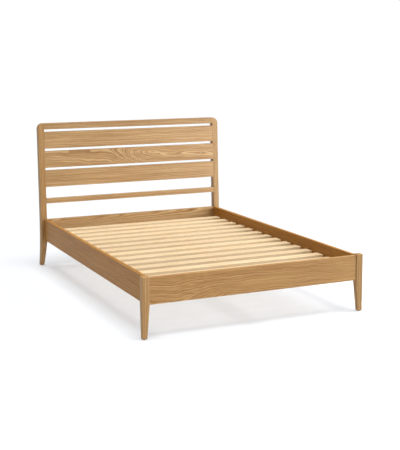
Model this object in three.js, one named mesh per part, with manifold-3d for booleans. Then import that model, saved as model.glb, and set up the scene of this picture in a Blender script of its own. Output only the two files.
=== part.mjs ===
// Oak bed frame with a slatted base, for a 1350 x 1900 mm mattress.
// Millimetres. Seen from the foot, +X is right and +Y points to the headboard. +Z is up.
// The origin is on the floor, under the middle of the frame.

import * as THREE from 'three';
import { mergeVertices } from 'three/addons/utils/BufferGeometryUtils.js';
import Module from 'manifold-3d';

const wasm = await Module();
wasm.setup();

// ---------------------------------------------------------------- dimensions

const GAP = 0.3; // clearance between faces that touch
const EDGE = 3.5; // rounding along the arrises of the posts
const BOARD_EDGE = 2.5; // rounding along the arrises of boards and rails

const BED_WIDTH = 1450; // over the outer faces of the posts
const POST_WIDTH = 45;
const HALF_WIDTH = BED_WIDTH / 2;
const INNER_WIDTH = BED_WIDTH - 2 * POST_WIDTH; // between the posts

const GLIDE_HEIGHT = 4;
const GLIDE_RADIUS = 9;

const RAIL_BOTTOM = 195;
const RAIL_TOP = 350;
const RAIL_THICKNESS = 24;
const SIDE_RAIL_INSET = 25; // from the outer face of a post to the rail's outer face

const FOOT_POST_DEPTH = 40;
const FOOT_POST_TOP = 356;
const FOOT_TIP_WIDTH = 30;
const FOOT_TIP_DEPTH = 27;
const PANEL_INSET = 6; // footboard panel behind the front of the foot posts

const HEAD_Y = 1965; // front face of the head posts, from the front of the foot posts
const HEAD_POST_DEPTH = 48;
const HEAD_TIP_WIDTH = 31;
const HEAD_TIP_DEPTH = 31;
const HEAD_LEG_SWEEP = 42; // how far the foot of a head post stands behind its rail
const HEAD_LEG_STEPS = 8;
const HEADBOARD_TOP = 1050;
const RAKE = Math.tan(THREE.MathUtils.degToRad(3)); // lean of the headboard
const CORNER_RADIUS = 41; // rounded upper corners of the headboard
const CORNER_STEPS = 10;

const TOP_RAIL_HEIGHT = 44;
const BOARD_HEIGHT = 122;
const BOARD_SLOT = 18;
const BOARD_THICKNESS = 24;
const BOARD_INSET = 0.5; // boards behind the front of the head posts
const BOARD_NAMES = ['upper', 'middle', 'lower'];
const CROSS_RAIL_BOTTOM = 465;
const CROSS_RAIL_HEIGHT = 38;

const LEDGER_WIDTH = 28;
const LEDGER_HEIGHT = 22;
const SLAT_COUNT = 14;
const SLAT_WIDTH = 70;
const SLAT_THICKNESS = 18;
const SLAT_TOP = 285;
const SLAT_END_CLEARANCE = 4;

const BEAM_WIDTH = 30;
const BEAM_HEIGHT = 60;
const LEG_TOP_SIZE = 40;
const LEG_TIP_SIZE = 30;
const SPIGOT_RADIUS = 6;
const SPIGOT_LENGTH = 25;

const PLATE = 3; // steel thickness
const BRACKET_ARM = 62;
const BRACKET_HEIGHT = 42;
const HANGER_EAR = 26;
const HANGER_DEPTH = 40;
const HANGER_CHEEK = 42;

const BOLT_RADIUS = 4;
const BOLT_LENGTH = 20;
const SCREW_RADIUS = 2.2;
const SCREW_LENGTH = 18;
const DOWEL_RADIUS = 5;
const DOWEL_LENGTH = 40;

const SLAT_BOTTOM = SLAT_TOP - SLAT_THICKNESS;
const SEAT = SLAT_BOTTOM - GAP; // top of what the slats lie on
const RAIL_INNER_X = HALF_WIDTH - SIDE_RAIL_INSET - RAIL_THICKNESS;
const PANEL_BACK = PANEL_INSET + RAIL_THICKNESS;
const BEAM_BOTTOM = SEAT - BEAM_HEIGHT;
const HEAD_TOP_LEAN = RAKE * (HEADBOARD_TOP - EDGE - RAIL_TOP);
const BED_LENGTH = HEAD_Y + HEAD_POST_DEPTH + HEAD_TOP_LEAN;
const MIDDLE_Y = (PANEL_BACK + HEAD_Y) / 2;
const SIDES = { left: -1, right: 1 };

// ----------------------------------------------------------------- materials

function oak(colour) {
  return new THREE.MeshStandardMaterial({ color: colour, roughness: 0.48, metalness: 0 });
}

function pine() {
  return new THREE.MeshStandardMaterial({ color: 0xdcc095, roughness: 0.7, metalness: 0 });
}

function zincSteel() {
  return new THREE.MeshStandardMaterial({ color: 0xb4b7bb, roughness: 0.35, metalness: 0.9 });
}

function nylon() {
  return new THREE.MeshStandardMaterial({ color: 0x3b3733, roughness: 0.6, metalness: 0 });
}

// -------------------------------------------------------------- solid helpers

function toSolid(geometry) {
  const bare = geometry.clone();
  bare.deleteAttribute('normal');
  bare.deleteAttribute('uv');
  const merged = mergeVertices(bare, 1e-4);
  return new wasm.Manifold(new wasm.Mesh({
    numProp: 3,
    vertProperties: Float32Array.from(merged.attributes.position.array),
    triVerts: Uint32Array.from(merged.index.array),
  }));
}

function toGeometry(solid) {
  const mesh = solid.getMesh();
  const indexed = new THREE.BufferGeometry();
  indexed.setAttribute('position', new THREE.BufferAttribute(mesh.vertProperties, 3));
  indexed.setIndex(new THREE.BufferAttribute(mesh.triVerts, 1));
  const geometry = indexed.toNonIndexed();
  geometry.computeVertexNormals();
  return geometry;
}

/** Adds and cuts geometries: the first, plus those in add, less those in cut. */
function joined(first, add = [], cut = []) {
  let solid = toSolid(first);
  for (const piece of add) solid = solid.add(toSolid(piece));
  for (const piece of cut) solid = solid.subtract(toSolid(piece));
  return toGeometry(solid);
}

/** A straight bar between two corners, along one axis, with its four long edges rounded. */
function bar(low, high, axis, edge = 0) {
  const order = { x: [1, 2, 0], y: [2, 0, 1], z: [0, 1, 2] }[axis];
  const [u, v, w] = order;
  const section = new THREE.Shape();
  if (edge > 0) {
    section.absarc(high[u] - edge, high[v] - edge, edge, 0, Math.PI / 2);
    section.absarc(low[u] + edge, high[v] - edge, edge, Math.PI / 2, Math.PI);
    section.absarc(low[u] + edge, low[v] + edge, edge, Math.PI, 1.5 * Math.PI);
    section.absarc(high[u] - edge, low[v] + edge, edge, 1.5 * Math.PI, 2 * Math.PI);
  } else {
    section.moveTo(low[u], low[v]);
    section.lineTo(high[u], low[v]);
    section.lineTo(high[u], high[v]);
    section.lineTo(low[u], high[v]);
  }
  const depth = high[w] - low[w];
  const geometry = new THREE.ExtrudeGeometry(section, { depth, bevelEnabled: false, curveSegments: 3 });
  geometry.translate(0, 0, low[w]);
  const unit = [new THREE.Vector3(1, 0, 0), new THREE.Vector3(0, 1, 0), new THREE.Vector3(0, 0, 1)];
  return geometry.applyMatrix4(new THREE.Matrix4().makeBasis(unit[u], unit[v], unit[w]));
}

/** A round bar along Y. */
function rodY(x, z, radius, from, to) {
  const rod = new THREE.CylinderGeometry(radius, radius, to - from, 20);
  return rod.translate(x, (from + to) / 2, z);
}

/** A round bar along Z. */
function rodZ(x, y, radius, from, to) {
  const rod = new THREE.CylinderGeometry(radius, radius, to - from, 20);
  return rod.rotateX(Math.PI / 2).translate(x, y, (from + to) / 2);
}

/** A closed outline through corners [x, z, radius]; a radius of 0 leaves the corner sharp. */
function outline(corners) {
  const shape = new THREE.Shape();
  corners.forEach(([x, z, radius], i) => {
    const corner = new THREE.Vector2(x, z);
    const before = new THREE.Vector2(...corners.at(i - 1));
    const after = new THREE.Vector2(...corners[(i + 1) % corners.length]);
    const start = corner.clone().add(before.sub(corner).setLength(radius));
    const end = corner.clone().add(after.sub(corner).setLength(radius));
    if (i === 0) shape.moveTo(start.x, start.y);
    else shape.lineTo(start.x, start.y);
    if (radius > 0) shape.quadraticCurveTo(corner.x, corner.y, end.x, end.y);
  });
  return shape;
}

/** Extrudes an outline drawn in X and Z from front to back, with rounded arrises. */
function blank(shape, front, depth) {
  const geometry = new THREE.ExtrudeGeometry(shape, {
    depth: depth - 2 * EDGE,
    bevelThickness: EDGE,
    bevelSize: EDGE,
    bevelOffset: -EDGE,
    bevelSegments: 2,
    curveSegments: 3,
  });
  return geometry.rotateX(Math.PI / 2).translate(0, front + depth - EDGE, 0);
}

/** Moves every vertex to the Y that place(y, z) gives. */
function reshapeY(geometry, place) {
  const position = geometry.attributes.position;
  for (let i = 0; i < position.count; i += 1) {
    position.setY(i, place(position.getY(i), position.getZ(i)));
  }
  return geometry;
}

// ----------------------------------------------------------- shape of the bed

/** How far down a leg a height is: 0 at the rail, 1 at the floor. */
function legShare(z) {
  return THREE.MathUtils.clamp((RAIL_BOTTOM - z) / RAIL_BOTTOM, 0, 1);
}

/** Above the rails the headboard leans back, and below them the leg sweeps back. */
function headSweep(y, z) {
  if (z >= RAIL_TOP) return y + RAKE * (z - RAIL_TOP);
  const share = legShare(z);
  const depth = THREE.MathUtils.lerp(HEAD_POST_DEPTH, HEAD_TIP_DEPTH, share);
  return HEAD_Y + HEAD_LEG_SWEEP * share ** 1.35 + (y - HEAD_Y) * depth / HEAD_POST_DEPTH;
}

/** The foot posts stay plumb in front and taper behind. */
function footTaper(y, z) {
  return y * THREE.MathUtils.lerp(1, FOOT_TIP_DEPTH / FOOT_POST_DEPTH, legShare(z));
}

// A board across the bed: its place, and the stub tenon that runs into each post.
function board(front, thickness, bottom, height, tenonDepth, shoulder = 10) {
  return { front, thickness, bottom, height, tenonDepth, tenonThickness: thickness * 0.45, shoulder };
}

const PANEL = board(PANEL_INSET, RAIL_THICKNESS, RAIL_BOTTOM, RAIL_TOP - RAIL_BOTTOM, 20, 36);
const END_RAIL = board(HEAD_Y, RAIL_THICKNESS, RAIL_BOTTOM, RAIL_TOP - RAIL_BOTTOM, 20, 36);
const CROSS_RAIL = board(HEAD_Y + BOARD_INSET, BOARD_THICKNESS, CROSS_RAIL_BOTTOM, CROSS_RAIL_HEIGHT, 18);
const TOP_RAIL_BOTTOM = HEADBOARD_TOP - TOP_RAIL_HEIGHT;
const TOP_RAIL = board(HEAD_Y, HEAD_POST_DEPTH, TOP_RAIL_BOTTOM, TOP_RAIL_HEIGHT, 18);
const BOARDS = BOARD_NAMES.map((name, i) => {
  const bottom = TOP_RAIL_BOTTOM - (i + 1) * (BOARD_SLOT + BOARD_HEIGHT);
  return board(HEAD_Y + BOARD_INSET, BOARD_THICKNESS, bottom, BOARD_HEIGHT, 18);
});

/** The tongue through a board that makes its two tenons; clearance grows it into a mortise. */
function tongue(place, clearance = 0) {
  const reach = INNER_WIDTH / 2 + place.tenonDepth + clearance;
  const middle = place.front + place.thickness / 2;
  const half = place.tenonThickness / 2 + clearance;
  const low = place.bottom + place.shoulder - clearance;
  const high = place.bottom + place.height - place.shoulder + clearance;
  return bar([-reach, middle - half, low], [reach, middle + half, high], 'x');
}

function crossBoard(place, edge) {
  const half = INNER_WIDTH / 2 - GAP;
  const low = [-half, place.front, place.bottom];
  const high = [half, place.front + place.thickness, place.bottom + place.height];
  return bar(low, high, 'x', edge);
}

// Where the fasteners go. All of them run along Y.
const bracketBoltX = [0.42, 0.82].map((share) => RAIL_INNER_X - share * BRACKET_ARM);
const bracketZ = RAIL_BOTTOM + 4 + BRACKET_HEIGHT / 2;
const hangerScrewX = BEAM_WIDTH / 2 + PLATE + HANGER_EAR / 2;
const hangerZ = BEAM_BOTTOM + HANGER_CHEEK / 2;
const dowelX = RAIL_INNER_X + RAIL_THICKNESS / 2;
const dowelZ = RAIL_BOTTOM + 20;

/** Holes that a board across the end of the bed needs, from its inner face into the wood. */
function endHoles(face, into) {
  const boltEnd = face + into * (BOLT_LENGTH + GAP);
  const screwEnd = face + into * (SCREW_LENGTH + GAP);
  const span = (end) => [Math.min(face - into, end), Math.max(face - into, end)];
  return Object.values(SIDES).flatMap((side) => [
    ...bracketBoltX.map((x) => rodY(side * x, bracketZ, BOLT_RADIUS + GAP, ...span(boltEnd))),
    rodY(side * hangerScrewX, hangerZ, SCREW_RADIUS + GAP, ...span(screwEnd)),
  ]);
}

function dowelHole(side, y) {
  const half = DOWEL_LENGTH / 2 + GAP;
  return rodY(side * dowelX, dowelZ, DOWEL_RADIUS + GAP, y - half, y + half);
}

// --------------------------------------------------------------------- pieces

function footPost(side) {
  const outer = side * HALF_WIDTH;
  const inner = side * (HALF_WIDTH - POST_WIDTH);
  const tip = side * (HALF_WIDTH - FOOT_TIP_WIDTH);
  const corner = EDGE + 2;
  const shape = outline([
    [outer, GLIDE_HEIGHT, corner], [outer, RAIL_BOTTOM, 0], [outer, FOOT_POST_TOP, corner],
    [inner, FOOT_POST_TOP, corner], [inner, RAIL_BOTTOM, 0], [tip, GLIDE_HEIGHT, corner],
  ]);
  const wood = reshapeY(blank(shape, 0, FOOT_POST_DEPTH), footTaper);
  return joined(wood, [], [tongue(PANEL, GAP), dowelHole(side, FOOT_POST_DEPTH)]);
}

/** Outline of a head post: rounded at the top outside, tapered inside towards the floor. */
function headPostOutline(side) {
  const levels = Array.from({ length: HEAD_LEG_STEPS }, (_, i) => i / HEAD_LEG_STEPS);
  const legZ = (share) => THREE.MathUtils.lerp(GLIDE_HEIGHT, RAIL_BOTTOM, share);
  const legX = (share) => HALF_WIDTH - THREE.MathUtils.lerp(HEAD_TIP_WIDTH, POST_WIDTH, share);
  const outer = levels.map((share, i) => [side * HALF_WIDTH, legZ(share), i ? 0 : EDGE + 2]);
  const corner = Array.from({ length: CORNER_STEPS + 1 }, (_, i) => {
    const angle = (i / CORNER_STEPS) * (Math.PI / 2);
    const x = HALF_WIDTH - CORNER_RADIUS * (1 - Math.cos(angle));
    return [side * x, HEADBOARD_TOP - CORNER_RADIUS * (1 - Math.sin(angle)), 0];
  });
  const insideX = side * (HALF_WIDTH - POST_WIDTH);
  const inside = [HEADBOARD_TOP, RAIL_TOP, RAIL_BOTTOM].map((z) => [insideX, z, 0]);
  const leg = levels.toReversed().map((share) => [side * legX(share), legZ(share), share ? 0 : EDGE + 2]);
  const rail = [RAIL_BOTTOM, RAIL_TOP].map((z) => [side * HALF_WIDTH, z, 0]);
  return outline([...outer, ...rail, ...corner, ...inside, ...leg]);
}

function headPost(side) {
  const wood = reshapeY(blank(headPostOutline(side), HEAD_Y, HEAD_POST_DEPTH), headSweep);
  const mortises = [TOP_RAIL, ...BOARDS, CROSS_RAIL, END_RAIL].map((place) => {
    return reshapeY(tongue(place, GAP), leanBack);
  });
  return joined(wood, [], [...mortises, dowelHole(side, HEAD_Y)]);
}

/** The headboard's lean alone, for the boards that never reach below the rails. */
function leanBack(y, z) {
  return y + RAKE * Math.max(0, z - RAIL_TOP);
}

function headboardBoard(place, edge) {
  const wood = reshapeY(crossBoard(place, edge), leanBack);
  return joined(wood, [reshapeY(tongue(place), leanBack)]);
}

function sideRail(side) {
  const outer = side * (HALF_WIDTH - SIDE_RAIL_INSET);
  const inner = side * RAIL_INNER_X;
  const ends = [FOOT_POST_DEPTH + GAP, HEAD_Y - GAP];
  const wood = bar(
    [Math.min(outer, inner), ends[0], RAIL_BOTTOM], [Math.max(outer, inner), ends[1], RAIL_TOP], 'y', BOARD_EDGE,
  );
  return joined(wood, [], [dowelHole(side, FOOT_POST_DEPTH), dowelHole(side, HEAD_Y)]);
}

function ledger(side) {
  const near = side * (RAIL_INNER_X - GAP);
  const far = side * (RAIL_INNER_X - LEDGER_WIDTH);
  const low = [Math.min(near, far), PANEL_BACK + 12, SEAT - LEDGER_HEIGHT];
  const high = [Math.max(near, far), HEAD_Y - 12, SEAT];
  return bar(low, high, 'y', 1.5);
}

function slat() {
  const half = RAIL_INNER_X - SLAT_END_CLEARANCE;
  return bar([-half, -SLAT_WIDTH / 2, SLAT_BOTTOM], [half, SLAT_WIDTH / 2, SLAT_TOP], 'x', 2);
}

function centreBeam() {
  const start = PANEL_BACK + PLATE + 2 * GAP;
  const end = HEAD_Y - PLATE - 2 * GAP;
  const wood = bar([-BEAM_WIDTH / 2, start, BEAM_BOTTOM], [BEAM_WIDTH / 2, end, SEAT], 'y', 2);
  const bore = rodZ(0, MIDDLE_Y, SPIGOT_RADIUS + GAP, BEAM_BOTTOM - 1, BEAM_BOTTOM + SPIGOT_LENGTH + GAP);
  return joined(wood, [], [bore]);
}

/** The tapered leg under the middle of the beam, with a round spigot up into it. */
function centreLeg() {
  const top = LEG_TOP_SIZE / 2;
  const tip = LEG_TIP_SIZE / 2;
  const height = BEAM_BOTTOM - GAP;
  const shape = outline([
    [tip, GLIDE_HEIGHT, 0], [top, height, 0], [-top, height, 0], [-tip, GLIDE_HEIGHT, 0],
  ]);
  const taper = (y, z) => y * THREE.MathUtils.mapLinear(z, GLIDE_HEIGHT, height, tip / top, 1);
  const wood = reshapeY(blank(shape, -top, LEG_TOP_SIZE), taper);
  return joined(wood, [rodZ(0, 0, SPIGOT_RADIUS, height - 5, BEAM_BOTTOM + SPIGOT_LENGTH)]);
}

/** An angle of bent steel: one arm on the side rail, one on the board across the end. */
function cornerBracket(side, face, into) {
  const x = side * (RAIL_INNER_X - GAP);
  const y = face - into * GAP;
  const [low, high] = [bracketZ - BRACKET_HEIGHT / 2, bracketZ + BRACKET_HEIGHT / 2];
  const shape = new THREE.Shape();
  shape.moveTo(0, 0);
  shape.lineTo(BRACKET_ARM, 0);
  shape.lineTo(BRACKET_ARM, PLATE);
  shape.lineTo(2 * PLATE, PLATE);
  shape.quadraticCurveTo(PLATE, PLATE, PLATE, 2 * PLATE);
  shape.lineTo(PLATE, BRACKET_ARM);
  shape.lineTo(0, BRACKET_ARM);
  const angle = new THREE.ExtrudeGeometry(shape, { depth: high - low, bevelEnabled: false, curveSegments: 4 });
  const turn = { '-1,-1': 0, '1,-1': 0.5, '1,1': 1, '-1,1': 1.5 }[`${side},${into}`];
  angle.rotateZ(turn * Math.PI).translate(x, y, low);
  const holes = bracketBoltX.map((bolt) => rodY(side * bolt, bracketZ, BOLT_RADIUS + GAP, y - 9, y + 9));
  return joined(angle, [], holes);
}

/** A steel shoe that carries one end of the beam: two ears, two cheeks and a floor. */
function beamHanger(face, into) {
  const inner = BEAM_WIDTH / 2 + GAP;
  const outer = inner + PLATE;
  const bottom = BEAM_BOTTOM - GAP - PLATE;
  const top = BEAM_BOTTOM + HANGER_CHEEK;
  const back = face - into * GAP;
  const reach = (from, to) => [back - into * from, back - into * to].sort((a, b) => a - b);
  const [plateLow, plateHigh] = reach(0, PLATE);
  const [cheekLow, cheekHigh] = reach(PLATE / 2, HANGER_DEPTH);
  const plate = bar([-outer - HANGER_EAR, plateLow, bottom], [outer + HANGER_EAR, plateHigh, top], 'z');
  const floor = bar([-outer, cheekLow, bottom], [outer, cheekHigh, bottom + PLATE], 'z');
  const cheeks = Object.values(SIDES).map((side) => {
    const x = [side * inner, side * outer].sort((a, b) => a - b);
    return bar([x[0], cheekLow, bottom], [x[1], cheekHigh, top], 'z');
  });
  const holes = Object.values(SIDES).map((side) => {
    return rodY(side * hangerScrewX, hangerZ, SCREW_RADIUS + GAP, plateLow - 1, plateHigh + 1);
  });
  return joined(plate, [floor, ...cheeks], holes);
}

/** A flanged hexagon bolt, its shank down -Z and the face under its flange at z = 0. */
function hexBolt(shank) {
  const flange = new THREE.CylinderGeometry(8.5, 9, 1.6, 24).rotateX(Math.PI / 2).translate(0, 0, 0.8);
  const head = new THREE.CylinderGeometry(7.3, 7.5, 5.5, 6).rotateX(Math.PI / 2).translate(0, 0, 3.75);
  return joined(flange, [head, rodZ(0, 0, BOLT_RADIUS, -shank, 0.8)]);
}

/** A round-headed wood screw, its shank down -Z and the face under its head at z = 0. */
function woodScrew(shank) {
  const profile = [[0, -shank], [0.6, -shank], [SCREW_RADIUS, -shank + 5], [SCREW_RADIUS, 0], [4.6, 0],
    [4.3, 1.4], [3, 2.5], [0, 3]].map(([radius, z]) => new THREE.Vector2(radius, z));
  return new THREE.LatheGeometry(profile, 20).rotateX(Math.PI / 2);
}

function dowel() {
  const half = DOWEL_LENGTH / 2;
  const profile = [[0, -half], [DOWEL_RADIUS - 1, -half], [DOWEL_RADIUS, 1 - half], [DOWEL_RADIUS, half - 1],
    [DOWEL_RADIUS - 1, half], [0, half]].map(([radius, y]) => new THREE.Vector2(radius, y));
  return new THREE.LatheGeometry(profile, 20);
}

/** A round glide under a foot, its edge eased against the floor. */
function glide() {
  const top = GLIDE_HEIGHT - GAP;
  const profile = [[0, 0], [GLIDE_RADIUS - 1, 0], [GLIDE_RADIUS, 1], [GLIDE_RADIUS, top], [0, top]];
  const points = profile.map(([radius, z]) => new THREE.Vector2(radius, z));
  return new THREE.LatheGeometry(points, 24).rotateX(Math.PI / 2);
}

// ------------------------------------------------------------------- assembly

function named(name, geometry, material, position = [0, 0, 0]) {
  const mesh = new THREE.Mesh(geometry, material);
  mesh.name = name;
  mesh.position.set(...position);
  return mesh;
}

function headboard() {
  const group = new THREE.Group();
  for (const [name, side] of Object.entries(SIDES)) {
    group.add(named(`head_post_${name}`, headPost(side), oak(0xbb9161)));
  }
  group.add(named('headboard_top_rail', headboardBoard(TOP_RAIL, EDGE), oak(0xc39a66)));
  BOARDS.forEach((place, i) => {
    group.add(named(`headboard_board_${BOARD_NAMES[i]}`, headboardBoard(place, BOARD_EDGE), oak(0xc69d6a)));
  });
  group.add(named('head_cross_rail', headboardBoard(CROSS_RAIL, BOARD_EDGE), oak(0xb98f5e)));
  const rail = joined(crossBoard(END_RAIL, BOARD_EDGE), [tongue(END_RAIL)], endHoles(HEAD_Y, 1));
  group.add(named('head_end_rail', rail, oak(0xb98f5e)));
  return group;
}

function footboard() {
  const group = new THREE.Group();
  for (const [name, side] of Object.entries(SIDES)) {
    group.add(named(`foot_post_${name}`, footPost(side), oak(0xb88e5b)));
  }
  const panel = joined(crossBoard(PANEL, BOARD_EDGE), [tongue(PANEL)], endHoles(PANEL_BACK, -1));
  group.add(named('footboard_panel', panel, oak(0xb88f58)));
  return group;
}

function sides() {
  const group = new THREE.Group();
  for (const [name, side] of Object.entries(SIDES)) {
    group.add(named(`side_rail_${name}`, sideRail(side), oak(0xa87d52)));
    group.add(named(`slat_ledger_${name}`, ledger(side), pine()));
    for (const [end, y] of [['foot', FOOT_POST_DEPTH], ['head', HEAD_Y]]) {
      group.add(named(`rail_dowel_${end}_${name}`, dowel(), pine(), [side * dowelX, y, dowelZ]));
    }
  }
  return group;
}

function slattedBase() {
  const group = new THREE.Group();
  const space = HEAD_Y - PANEL_BACK;
  const gap = (space - SLAT_COUNT * SLAT_WIDTH) / (SLAT_COUNT + 1);
  for (let i = 0; i < SLAT_COUNT; i += 1) {
    const y = PANEL_BACK + gap + SLAT_WIDTH / 2 + i * (gap + SLAT_WIDTH);
    group.add(named(`slat_${String(i + 1).padStart(2, '0')}`, slat(), pine(), [0, y, 0]));
  }
  group.add(named('centre_beam', centreBeam(), pine()));
  group.add(named('centre_leg', centreLeg(), oak(0xb88e5b), [0, MIDDLE_Y, 0]));
  return group;
}

/** Brackets, hangers, bolts and screws on the inner faces of the two ends. */
function ironwork() {
  const group = new THREE.Group();
  for (const [end, face, into] of [['foot', PANEL_BACK, -1], ['head', HEAD_Y, 1]]) {
    const seat = face - into * (2 * GAP + PLATE);
    const turn = into * Math.PI / 2;
    const fasten = (name, geometry, x, z) => {
      const mesh = named(name, geometry, zincSteel(), [x, seat, z]);
      mesh.rotation.x = turn;
      group.add(mesh);
    };
    group.add(named(`beam_hanger_${end}`, beamHanger(face, into), zincSteel()));
    for (const [name, side] of Object.entries(SIDES)) {
      group.add(named(`corner_bracket_${end}_${name}`, cornerBracket(side, face, into), zincSteel()));
      bracketBoltX.forEach((x, i) => {
        const bolt = `bracket_bolt_${end}_${name}_${i + 1}`;
        fasten(bolt, hexBolt(BOLT_LENGTH + PLATE), side * x, bracketZ);
      });
      fasten(`hanger_screw_${end}_${name}`, woodScrew(SCREW_LENGTH + PLATE), side * hangerScrewX, hangerZ);
    }
  }
  return group;
}

function glides() {
  const group = new THREE.Group();
  const footX = HALF_WIDTH - FOOT_TIP_WIDTH / 2;
  const headX = HALF_WIDTH - HEAD_TIP_WIDTH / 2;
  const headY = HEAD_Y + HEAD_LEG_SWEEP + HEAD_TIP_DEPTH / 2 - 1;
  for (const [name, side] of Object.entries(SIDES)) {
    group.add(named(`glide_foot_${name}`, glide(), nylon(), [side * footX, FOOT_TIP_DEPTH / 2, 0]));
    group.add(named(`glide_head_${name}`, glide(), nylon(), [side * headX, headY, 0]));
  }
  group.add(named('glide_centre', glide(), nylon(), [0, MIDDLE_Y, 0]));
  return group;
}

const bed = new THREE.Group();
bed.add(headboard(), footboard(), sides(), slattedBase(), ironwork(), glides());
bed.position.y = -BED_LENGTH / 2;

export default bed;
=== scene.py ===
"""Oak double bed frame: the finished pieces, their woods and metals, and a plain studio.

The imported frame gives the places. Sizes are in metres: +X is right seen from the
foot, +Y points to the headboard, and +Z is up. The bed stands still, so every
piece rides on the one body.
"""

import logging
import math
import random
from collections.abc import Callable, Iterable, Iterator
from contextlib import contextmanager
from dataclasses import dataclass, field
from enum import Enum
from typing import Any

import bmesh
import bpy
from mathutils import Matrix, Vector


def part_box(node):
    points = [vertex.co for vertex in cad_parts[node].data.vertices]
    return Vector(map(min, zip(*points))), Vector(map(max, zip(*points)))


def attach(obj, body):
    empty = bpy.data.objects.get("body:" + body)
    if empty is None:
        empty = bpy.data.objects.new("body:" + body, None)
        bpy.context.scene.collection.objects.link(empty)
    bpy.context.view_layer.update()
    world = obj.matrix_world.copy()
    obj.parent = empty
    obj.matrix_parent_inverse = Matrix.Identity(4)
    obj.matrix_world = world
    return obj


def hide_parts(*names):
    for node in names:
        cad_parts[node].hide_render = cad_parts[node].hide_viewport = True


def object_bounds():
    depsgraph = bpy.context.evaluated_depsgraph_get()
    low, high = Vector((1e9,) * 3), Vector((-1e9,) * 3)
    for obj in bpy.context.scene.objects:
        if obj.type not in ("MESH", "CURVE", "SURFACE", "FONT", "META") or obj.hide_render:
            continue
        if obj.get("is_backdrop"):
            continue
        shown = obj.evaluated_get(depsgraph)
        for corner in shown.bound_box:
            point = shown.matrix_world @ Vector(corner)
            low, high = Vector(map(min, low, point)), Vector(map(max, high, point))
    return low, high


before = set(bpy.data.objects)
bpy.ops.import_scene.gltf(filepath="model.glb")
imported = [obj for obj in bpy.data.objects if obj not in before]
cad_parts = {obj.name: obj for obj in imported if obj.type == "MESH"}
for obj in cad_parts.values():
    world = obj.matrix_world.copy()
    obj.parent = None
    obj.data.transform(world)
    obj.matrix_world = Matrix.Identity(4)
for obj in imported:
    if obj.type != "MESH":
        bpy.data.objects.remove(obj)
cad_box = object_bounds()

log = logging.getLogger("bed")

Triple = tuple[float, float, float]
Colour = tuple[float, float, float]
Test = Callable[[Vector, Vector], bool]

BODY = "root"
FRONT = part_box("foot_post_left")[0].y  # the front face of the foot posts
HALF_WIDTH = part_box("foot_post_right")[1].x
GLIDE_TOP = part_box("foot_post_left")[0].z
RAIL_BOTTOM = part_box("side_rail_left")[0].z
RAIL_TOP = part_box("side_rail_left")[1].z
HEAD_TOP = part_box("headboard_top_rail")[1].z
HEAD_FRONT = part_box("side_rail_left")[1].y + 0.0003  # where the side rails end
RAIL_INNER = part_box("side_rail_right")[0].x
JOINT = 0.0003  # clearance between faces that touch
RAKE = math.tan(math.radians(3.0))  # the headboard's lean
SIDES = {"left": -1, "right": 1}
ENDS = {"foot": -1, "head": 1}
BOARD = 0.024  # thickness of every board and rail
BOARD_EDGE = 0.0025  # rounding of their arrises
SWERVE = 0.2  # half the length over which swirling rings swerve
LOW_SHOULDER = 0.036  # above and below the tenons at rail height
BOLT_RADIUS, BOLT_REACH = 0.0040, 0.0230
SCREW_RADIUS, SCREW_REACH = 0.0022, 0.0210
DOWEL_RADIUS = 0.0050
SPIGOT_RADIUS = 0.0060  # of the pin on top of the centre leg
NEAR, ABOUT = 1e-4, 1e-3  # how far off a place may be and still match
FACING, ALONG = 0.9, 0.5  # cosines from which a face or an edge points a given way
QUARTER = math.pi / 2  # of a turn
SHARP = 0.6  # angle from which an edge is an arris
NARROW = 0.0024  # width up to which a face is part of a rounding


# ------------------------------------------------------------------ the bench


class Element(Enum):
    """What a selection is made of."""

    POINT = "VERT"
    EDGE = "EDGE"
    FACE = "FACE"


class Fibre(Enum):
    """The axes that run along the fibres, across the face and through the board."""

    ACROSS_BED = (0, 2, 1)
    ALONG_BED = (1, 2, 0)
    UPRIGHT = (2, 0, 1)
    FLAT_ACROSS_BED = (0, 1, 2)


def put_down() -> None:
    """Deselects everything, so that an operator meets only the piece in hand."""
    bpy.ops.object.select_all(action="DESELECT")


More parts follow.
